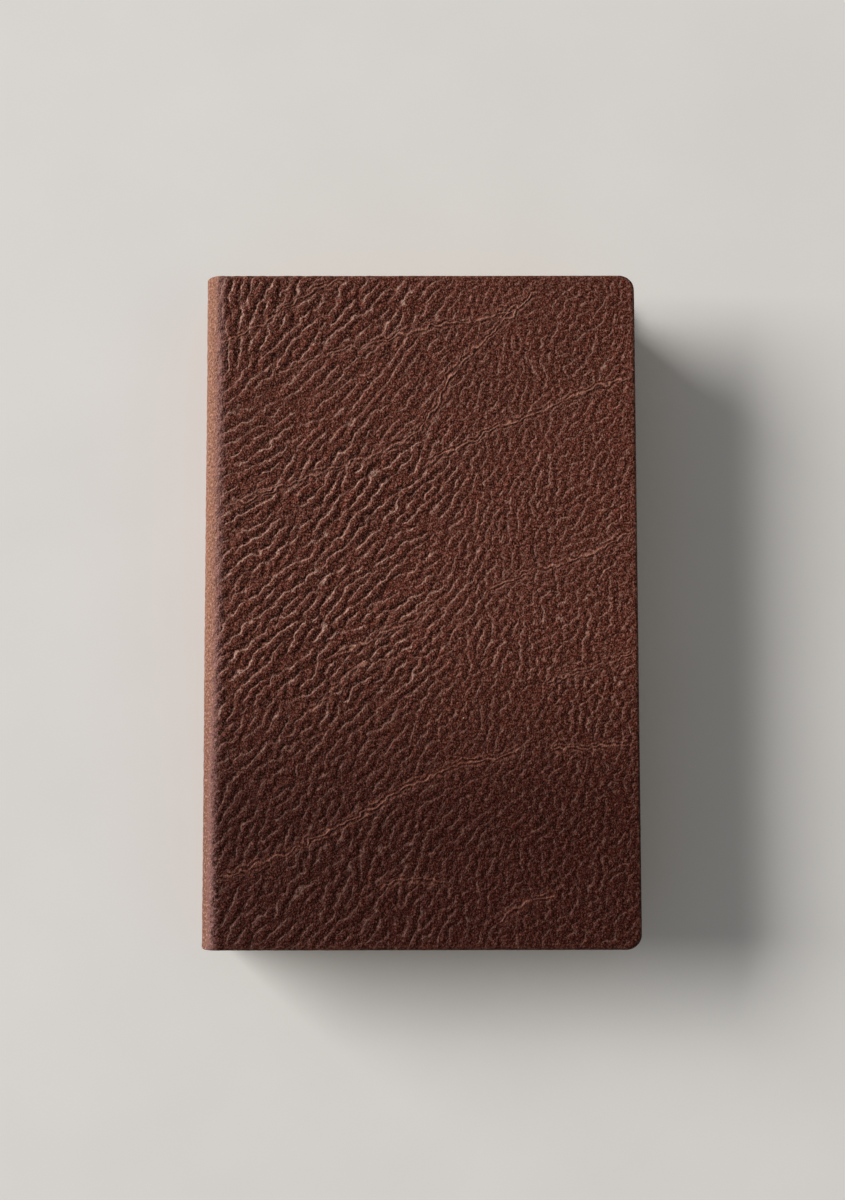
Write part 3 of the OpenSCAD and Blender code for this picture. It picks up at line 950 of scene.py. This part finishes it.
# Pale bands on the shoulders: partly wear, partly painted sheen
faded_band_and_sheen = recipe.times(recipe.ramp(past_frayed, 0.2, 4.4), recipe.ramp(past_frayed, 21, 11))
rubbed_band_and_sheen = recipe.times(recipe.ramp(past_frayed, 2.4, 5.6), recipe.ramp(past_frayed, 19, 11))
worn_and_sheen_tone = recipe.coats(
    (138, 94, 74),
    # Painted shade: darker towards the tail, where the light falls off
    (to_tail, 1, (106, 68, 56)),
    (recipe.ramp(speckle, 0.5, 0.34), 0.8, (84, 48, 36)),
    (recipe.ramp(speckle, 0.5, 0.66), 0.7, (184, 142, 120)),
)
past_end = recipe.minus(recipe.math("ABSOLUTE", place_high), rim_y)
past_fore = recipe.times(from_fore_edge, -1)
on_rim = recipe.hill(recipe.minus(recipe.math("MAXIMUM", past_end, past_fore), 0.8), 0.9)
rim_wear = recipe.times(on_rim, recipe.ramp(recipe.noise(place, 0.3, 4, 0.7), 0.45, 0.7))
specks = use_group(recipe, dust_specks, {"Place": place, "Share": 0.08, "Size": 0.22})["Mask"]
skin_tone = recipe.coats(
    skin_tone,
    # Pale band on the shoulders: partly wear, partly painted sheen
    (faded_band_and_sheen, 0.9, (140, 100, 94)),
    (rubbed_band_and_sheen, 0.92, worn_and_sheen_tone),
    (rim_wear, 0.35, (150, 102, 80)),
    (specks, 0.8, (206, 190, 170)),
)
gloss = recipe.times_plus(shaded_flank, 0.2, recipe.times_plus(speckle, 0.12, 0.4))
dress(recipe, shader, skin_tone, gloss, (height, 1.0, 1.0), specular=0.08)
count_nodes(leather)

# %% [markdown]
# ## The two skins
# Each skin is built with its grain stored for the finish, and hides the imported leather that it
# takes the place of.

def place_skin(name, front, spacing, replaced):
    skin_bm, flat = leather_skin(front, spacing)
    skin = new_mesh_object(name, skin_bm, [leather])
    store_grain(skin, flat)
    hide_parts(*replaced)
    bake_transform(skin)
    print(name, "triangles:", sum(len(p.vertices) - 2 for p in skin.data.polygons))

place_skin("front_skin", True, 0.67, ("front_leather", "spine_leather"))
place_skin("back_skin", False, 1.1, ("back_leather",))

# %% [markdown]
# ## The pages
# A text block is a stack of thin leaves. Seen at its edges it is a pile of fine lines, never quite
# even. Each slab here stands for a bundle of a few leaves: a flat sheet with two rounded corners,
# given its thickness, with its own small slip. Backing has bent the ends of the leaves out over
# both shoulders, so the slabs fan out at the spine until they meet the curve of the folds.

# %% Curve of the folds
bundles = 84
fold_in = 2.4
shoulder_in = 1.4
fold_corner_r = shoulder_r - fold_in
fold_corner_z = mid_z - shoulder_in - fold_corner_r
fold_corner_x = face_cx - math.sqrt((face_r - shoulder_r) ** 2 - fold_corner_z ** 2)
fold_face_r = face_r - fold_in
fold_half = math.asin(fold_corner_z / (face_r - shoulder_r))
corner_arc = fold_corner_r * (math.pi / 2 - fold_half)
face_arc = 2 * fold_half * fold_face_r
page_top = book_t - wrap_t - paste_t - fly_t
leaf_pitch = (2 * page_top - book_t) / bundles
leaf_t = leaf_pitch - 0.03

def fold_point(s):
    """Place on the curve of the folds after that arc from the top shoulder, and its outward direction."""
    if s > corner_arc + face_arc / 2:
        (x, z), (n_x, n_z) = fold_point(2 * corner_arc + face_arc - s)
        return (x, book_t - z), (n_x, -n_z)
    if s < corner_arc:
        a = math.pi / 2 + s / fold_corner_r
        n = math.cos(a), math.sin(a)
        return (fold_corner_x + fold_corner_r * n[0], mid_z + fold_corner_z + fold_corner_r * n[1]), n
    a = math.pi - fold_half + (s - corner_arc) / fold_face_r
    n = math.cos(a), math.sin(a)
    return (face_cx + fold_face_r * n[0], mid_z + fold_face_r * n[1]), n

print("curve of the folds, in mm:", round(2 * corner_arc + face_arc, 1))

# %% Sewn grooves and the bend of each leaf
cord_margin = 22.0
cord_places = np.linspace(cord_margin - page_half_h, page_half_h - cord_margin, 5)
groove_half = 0.95
groove_depth = 1.9
groove_step = 0.02
fore_hollow = 0.6
bend_steps = 6
leaf_rest_x = -52.0
bend_limit_x = -58.0
first_arc = 0.16

def leaf_path(k, slip):
    """The (x, z) points of a bundle's middle, from the fore-edge to its fold."""
    flip = k >= bundles / 2
    i = bundles - 1 - k if flip else k
    s = first_arc + (i + 0.5) / bundles * (2 * corner_arc + face_arc - 2 * first_arc)
    (end_x, end_z), (n_x, n_z) = fold_point(s)
    z = page_top - (i + 0.5) * leaf_pitch
    bend_x = end_x - n_x * (end_z - z) / max(n_z, 0.05)
    bend_x = min(max(bend_x, end_x), bend_limit_x, hinge_x - 0.17 + 0.45 * i)
    ease = min(0.25 + 0.5 * i, 5.0)
    fore = page_fore - fore_hollow * (1 - ((z - mid_z) / (page_top - mid_z)) ** 2) - slip
    points = [(x, z) for x in (fore, 40, 0, -40, leaf_rest_x, bend_x + ease)]
    for j in range(1, bend_steps + 1):
        t = j / bend_steps
        a, b, c = (1 - t) ** 2, 2 * t * (1 - t), t * t
        points.append((a * (bend_x + ease) + b * bend_x + c * end_x, a * z + b * z + c * end_z))
    points = np.array(points)
    if flip:
        points[:, 1] = book_t - points[:, 1]
    return points

print("cords along the spine, in mm:", np.round(cord_places, 1))

# %% One bundle of leaves
page_corner_r = 4.0
corner_room = 6.0
slip_limit = 0.22
trim_limit = 0.16

def add_bundle(bm, layer, k, slip, half, shade):
    """A flat sheet, bent along its path, notched at the cords, rounded at two corners, made thick."""
    path = leaf_path(k, slip)
    columns = len(path) - 1
    notches = [y + side * (groove_half + step)
               for y in cord_places for side in (-1, 1) for step in (0, groove_step)]
    edges_y = np.sort([-half, corner_room - half, half - corner_room, half] + notches)
    rows = len(edges_y) - 1
    earlier = set(bm.faces)
    sheet = bmesh.ops.create_grid(bm, x_segments=columns, y_segments=rows, size=1)["verts"]
    for vertex in sheet:
        column = round((1 - vertex.co.x) / 2 * columns)
        y = edges_y[round((vertex.co.y + 1) / 2 * rows)]
        x, z = path[column]
        if column == columns and np.abs(cord_places - y).min() < groove_half + groove_step / 2:
            back = path[column - 1] - path[column]
            size = np.hypot(*back)
            x, z = path[column] + back / size * min(groove_depth, size * 0.9)
        vertex.co = (x, y, z)
        vertex[layer] = (shade, k / bundles, 0)
    corners = [v for v in sheet if v.co.x > 50 and abs(v.co.y) > half - 1 and len(v.link_edges) == 2]
    bmesh.ops.bevel(bm, geom=corners, offset=page_corner_r, segments=4, profile=0.5,
                    affect="VERTICES", material=-1)
    faces = [f for f in bm.faces if f not in earlier]
    bmesh.ops.recalc_face_normals(bm, faces=faces)
    bmesh.ops.solidify(bm, geom=faces, thickness=leaf_t)

print("thickness of a bundle, in mm:", round(leaf_t, 3))

# %% Stack the leaves
chance = np.random.default_rng(3)
bm = bmesh.new()
leaf_layer = bm.verts.layers.float_vector.new("leaf")
for k in range(bundles):
    slip = chance.uniform(0, slip_limit)
    half = page_half_h - chance.uniform(0.0, trim_limit)
    add_bundle(bm, leaf_layer, k, slip, half, shade=chance.uniform(0, 1))
# The vertices that came with the thickness take the shade of a neighbour
for vertex in bm.verts:
    if vertex[leaf_layer].length == 0:
        near = min((e.other_vert(vertex) for e in vertex.link_edges), key=lambda v: -v[leaf_layer].length)
        vertex[leaf_layer] = near[leaf_layer]
bmesh.ops.recalc_face_normals(bm, faces=bm.faces)
lowest, highest = min(v.co.z for v in bm.verts), max(v.co.z for v in bm.verts)
bmesh.ops.translate(bm, vec=(0, 0, mid_z - (lowest + highest) / 2), verts=bm.verts)
print("leaves from", round(lowest, 2), "to", round(highest, 2), "faces", len(bm.faces))
leaves = new_mesh_object("leaves", bm, smooth=False)
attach(leaves, "block")
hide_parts("text_block")

# %% [markdown]
# ## The finish of the pages
# Old paper is cream inside and browner at its edges, where air and hands reach it. Each bundle has
# its own slight shade, and fine lines in its edges stand for the single leaves.

# %% Page material
def edge_brown(recipe):
    """1 at the outer edges of the pages and 0 a few millimetres in."""
    place = recipe.axes(recipe.object_mm())
    from_end = recipe.minus(page_half_h, recipe.math("ABSOLUTE", place[1]))
    from_fore = recipe.minus(page_fore, place[0])
    nearest = recipe.math("MINIMUM", from_end, from_fore)
    wavy = recipe.noise(recipe.object_mm(), 0.12, 3, 0.6)
    return recipe.ramp(recipe.times_plus(wavy, -6, nearest), 4, -3)

page_paper, recipe, shader = new_material("page_paper")
in_mm = recipe.object_mm()
leaf = recipe.axes(recipe.stored("leaf"))
paper = use_group(recipe, paper_fibre, {"Place": in_mm, "Paper": tone(222, 205, 168),
                                        "Stain": tone(160, 122, 76), "Foxing": 0.25})
thin = recipe.add("Mapping", {"Vector": in_mm, "Scale": (0.05, 0.05, 9.0)})[0]
leaf_lines = recipe.noise(thin, 1.0, 2, 0.6)
page_tone = recipe.coats(
    paper["Color"],
    (edge_brown(recipe), 0.7, (176, 140, 94)),
    (recipe.ramp(leaf[0], 0, 1), 0.3, (186, 156, 110)),
    (recipe.ramp(leaf_lines, 0.5, 0.25), 0.55, (120, 88, 52)),
)
dress(recipe, shader, page_tone, 0.82, (leaf_lines, 0.6, 0.12), specular=0.3)
leaves.data.materials.append(page_paper)
count_nodes(page_paper)

# %% Endpaper material
endpaper, recipe, shader = new_material("aged_endpaper")
paper = use_group(recipe, paper_fibre, {"Place": recipe.object_mm(), "Paper": tone(219, 203, 169),
                                        "Stain": tone(166, 128, 84), "Foxing": 0.3})
page_tone = recipe.coats(paper["Color"], (edge_brown(recipe), 0.75, (165, 126, 82)))
dress(recipe, shader, page_tone, 0.8, (paper["Height"], 0.5, 0.08), specular=0.3)
count_nodes(endpaper)

# %% [markdown]
# ## The folds of the endpapers
# One folded sheet makes the flyleaf and the paper pasted down on the cover. Its fold runs through
# the joint: up one side of the gap, over, and down the other. When a cover opens the fold opens
# with it, so it is made as a strip of its own.

# %% Endpaper folds
leg_in = hinge_x + 0.108
leg_out = cover_x - 0.042
fold_z = book_t - leather_t - 0.12
fold_top_r = (leg_out - leg_in) / 2
fold_mid = (leg_in + leg_out) / 2
over_steps = 9
strip_t = 0.07

def endpaper_fold(name, front):
    z_low = page_top + fly_t / 2
    points = [(leg_in, z_low), (leg_in, z_low + 1.0), (leg_in, z_low + 2.0)]
    for i in range(over_steps + 1):
        a = math.pi * (1 - i / over_steps)
        points.append((fold_mid + fold_top_r * math.cos(a), fold_z - fold_top_r + fold_top_r * math.sin(a)))
    points += [(leg_out, fold_z - 1.2), (leg_out, fold_z - 2.2), (leg_out, page_top + fly_t + paste_t / 2)]
    columns = len(points) - 1
    bm = bmesh.new()
    bmesh.ops.create_grid(bm, x_segments=columns, y_segments=12, size=1)
    for vertex in bm.verts:
        x, z = points[round((vertex.co.x + 1) / 2 * columns)]
        vertex.co = (x, vertex.co.y * page_half_h, z if front else book_t - z)
    bmesh.ops.recalc_face_normals(bm, faces=bm.faces)
    bmesh.ops.solidify(bm, geom=bm.faces, thickness=strip_t)
    bmesh.ops.recalc_face_normals(bm, faces=bm.faces)
    made = new_mesh_object(name, bm, [endpaper])
    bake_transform(made)

endpaper_fold("front_endpaper_fold", True)
endpaper_fold("back_endpaper_fold", False)
print("strip of the fold in the joint, in mm:", round(leg_out - leg_in, 3), "wide")

# %% [markdown]
# ## The headbands
# A headband is a cord wound with silk of two colours. It stands on the ends of the leaves at the
# spine and is held by a cloth tab. Every turn of the winding is modelled: a small ring of thread
# round the core, leaning a little, with a bead where the threads cross at the foot.

# %% Place of the bands
band_d = 2.6
band_y = page_half_h + 0.05 + band_d / 2
band_arc_r = face_r - fold_in - band_d / 2 + 0.1
band_half = flat_half - band_d / 2
band_angle = math.asin(band_half / band_arc_r)

def band_frame(angle):
    """A matrix whose Z axis runs along the band at that angle round the centre of the spine's curve."""
    out = Vector((math.cos(angle), 0, math.sin(angle)))
    along = Vector((-math.sin(angle), 0, math.cos(angle)))
    side = along.cross(out)
    turned = Matrix((out, side, along)).transposed().to_4x4()
    turned.translation = Vector((face_cx, 0, mid_z)) + out * band_arc_r + Vector((0, band_y, 0))
    return turned

print("length of a band, in mm:", round(2 * band_angle * band_arc_r, 1))

# %% Core and its winding
turn_pitch = 0.62
turns = int(2 * band_half / turn_pitch)
thread_r = 0.32
thread_lean = math.radians(8)
core_r = band_d / 2 - 2 * thread_r + 0.12
foot_in = 0.15
foot_drop = 0.62

def spin(bm, verts, centre, axis, angle, steps, closed):
    """Turns a ring of vertices round an axis, with its edges and faces, into a tube."""
    links = {e for v in verts for e in v.link_edges} | {f for v in verts for f in v.link_faces}
    bmesh.ops.spin(bm, geom=[*verts, *links], cent=centre, axis=axis, angle=angle, steps=steps,
                   use_merge=closed, use_duplicate=False)

def add_turn(bm, angle):
    """One turn of silk: a small ring of thread round the core, and the bead at its foot."""
    here = band_frame(angle) @ Matrix.Rotation(thread_lean, 4, "X")
    at_top = here @ Matrix.Translation((band_d / 2 - thread_r, 0, 0))
    ring = bmesh.ops.create_circle(bm, cap_ends=False, radius=thread_r, segments=7,
                                   matrix=at_top @ Matrix.Rotation(math.pi / 2, 4, "X"))["verts"]
    spin(bm, ring, here.translation, here.col[2].to_3d(), 2 * math.pi, 14, True)
    foot = here @ Matrix.Translation((foot_in - band_d / 2, -foot_drop, 0))
    foot = foot @ Matrix.Diagonal((1, 1.5, 1, 1))
    bmesh.ops.create_uvsphere(bm, u_segments=8, v_segments=5, radius=thread_r * 0.9, matrix=foot)

def wind(bm, layer):
    """The core, then its turns of silk, three of one colour and three of the other."""
    start = math.pi - band_angle
    core = bmesh.ops.create_circle(bm, cap_ends=True, radius=core_r, segments=12,
                                   matrix=band_frame(start))["verts"]
    spin(bm, core, (face_cx, band_y, mid_z), (0, -1, 0), 2 * band_angle, 16, False)
    for vertex in bm.verts:
        vertex[layer] = (0.5, 0, 0)
    for i in range(turns + 1):
        before = set(bm.verts)
        add_turn(bm, start + 2 * band_angle * i / turns)
        for vertex in set(bm.verts) - before:
            vertex[layer] = ((i // 3) % 2, i / turns, 1)

print("turns of silk on a band:", turns + 1)

# %% Cloth tab
tab_len = 9.0
tab_t = 0.34
tab_r = face_r - fold_in + 0.2

def add_tab(bm, layer):
    """The cloth that holds the band to the folds, made thick evenly on both sides of its place."""
    tab = bmesh.ops.create_grid(bm, x_segments=16, y_segments=4, size=1)["verts"]
    tab_faces = list({f for v in tab for f in v.link_faces})
    for vertex in tab:
        a = math.pi + math.asin(band_half / tab_r) * vertex.co.x
        y = band_y - (tab_len + band_d / 2) * (1 - vertex.co.y) / 2
        vertex.co = (face_cx + tab_r * math.cos(a), y, mid_z + tab_r * math.sin(a))
        vertex[layer] = (0.5, 0, -1)
    bmesh.ops.solidify(bm, geom=tab_faces, thickness=tab_t)
    for vertex in bm.verts:
        if vertex[layer].length == 0:
            vertex[layer] = (0.5, 0, -1)
    tab_now = [v for v in bm.verts if v[layer].z < -0.5]
    middle_r = sum(math.hypot(v.co.x - face_cx, v.co.z - mid_z) for v in tab_now) / len(tab_now)
    for vertex in tab_now:
        out = Vector((vertex.co.x - face_cx, 0, vertex.co.z - mid_z)).normalized()
        vertex.co += out * (tab_r - middle_r)

print("cloth tab, in mm:", round(2 * band_half, 1), "by", tab_len)

# %% Put both headbands in place
def headband(name, at_head):
    bm = bmesh.new()
    layer = bm.verts.layers.float_vector.new("thread")
    wind(bm, layer)
    add_tab(bm, layer)
    bmesh.ops.remove_doubles(bm, verts=bm.verts, dist=0.0005)
    bmesh.ops.recalc_face_normals(bm, faces=bm.faces)
    if not at_head:
        bmesh.ops.scale(bm, vec=(1, -1, 1), verts=bm.verts)
        bmesh.ops.reverse_faces(bm, faces=bm.faces)
    made = new_mesh_object(name, bm)
    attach(made, "block")
    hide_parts(name.replace("wound_", ""))
    return made

wound_bands = [headband("wound_head_band", True), headband("wound_tail_band", False)]
print("faces of a headband:", len(wound_bands[0].data.polygons))

# %% Silk and cloth of the headbands
silk, recipe, shader = new_material("band_silk")
thread = recipe.axes(recipe.stored("thread"))
fibres = recipe.noise(recipe.add("Mapping", {"Vector": recipe.object_mm(), "Scale": (9, 9, 9)})[0],
                      1, 3, 0.7)
on_tab = recipe.ramp(thread[2], 0.0, -0.6)
silk_tone = recipe.coats(
    (196, 158, 96),
    (thread[0], 1, (110, 52, 34)),
    (recipe.ramp(fibres, 0.35, 0.65), 0.35, (70, 44, 26)),
    (on_tab, 1, (188, 172, 138)),
)
dress(recipe, shader, silk_tone, recipe.times_plus(on_tab, 0.35, 0.45), (fibres, 0.7, 0.06), sheen=0.2)
for band in wound_bands:
    band.data.materials.append(silk)
count_nodes(silk)

# %% [markdown]
# ## What lies inside
# Boards, cards, cloth and cords are hidden in a closed book, and show when it is opened or taken
# apart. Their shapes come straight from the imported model, and only their finish is given here.

# %% Board, card, cloth and hemp
def pressed_board(name, base, fleck, size):
    made, recipe, shader = new_material(name)
    in_mm = recipe.object_mm()
    pulp = recipe.noise(in_mm, size, 4, 0.65, 0.8)
    bits = recipe.add("TexVoronoi", {"Vector": in_mm, "Scale": size * 0.8})["Distance"]
    board_tone = recipe.coats(base, (recipe.ramp(pulp, 0.3, 0.7), 1, fleck),
                              (recipe.ramp(bits, 0.16, 0.08), 0.6, (84, 66, 44)))
    dress(recipe, shader, board_tone, 0.9, (pulp, 0.6, 0.15), specular=0.25)
    return made

def cloth_of(name, base, gap, pitch):
    made, recipe, shader = new_material(name)
    in_mm = recipe.object_mm()
    threads = use_group(recipe, weave, {"Place": in_mm, "Pitch": pitch})
    fuzz = recipe.noise(in_mm, 4, 3, 0.7)
    cloth_tone = recipe.coats(base, (threads["Mask"], 0.5, gap), (recipe.ramp(fuzz, 0.35, 0.65), 0.3, gap))
    dress(recipe, shader, cloth_tone, 0.88, (threads["Height"], 0.8, 0.12), sheen=0.15)
    return made

millboard = pressed_board("millboard", (150, 128, 96), (122, 100, 72), 0.9)
buff_card = pressed_board("buff_card", (196, 176, 140), (178, 156, 118), 1.8)
lining_cloth = cloth_of("lining_cloth", (206, 192, 160), (150, 130, 96), 1.1)
hemp = cloth_of("hemp_cord", (198, 176, 130), (140, 114, 76), 0.8)
for made in (millboard, buff_card, lining_cloth, hemp):
    count_nodes(made)

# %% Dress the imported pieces
finishes = (
    (millboard, ("front_board", "back_board")),
    (buff_card, ("front_infill", "back_infill", "spine_inlay", "hollow_tube")),
    (endpaper, ("front_pastedown", "back_pastedown", "front_flyleaf", "back_flyleaf")),
    (lining_cloth, ("spine_lining",)),
    (hemp, ("sewing_cords",)),
)
for material, names in finishes:
    for node in names:
        for material_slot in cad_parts[node].material_slots:
            material_slot.material = material
print("finished nodes:", sum(len(names) for _, names in finishes), "materials:", len(bpy.data.materials))
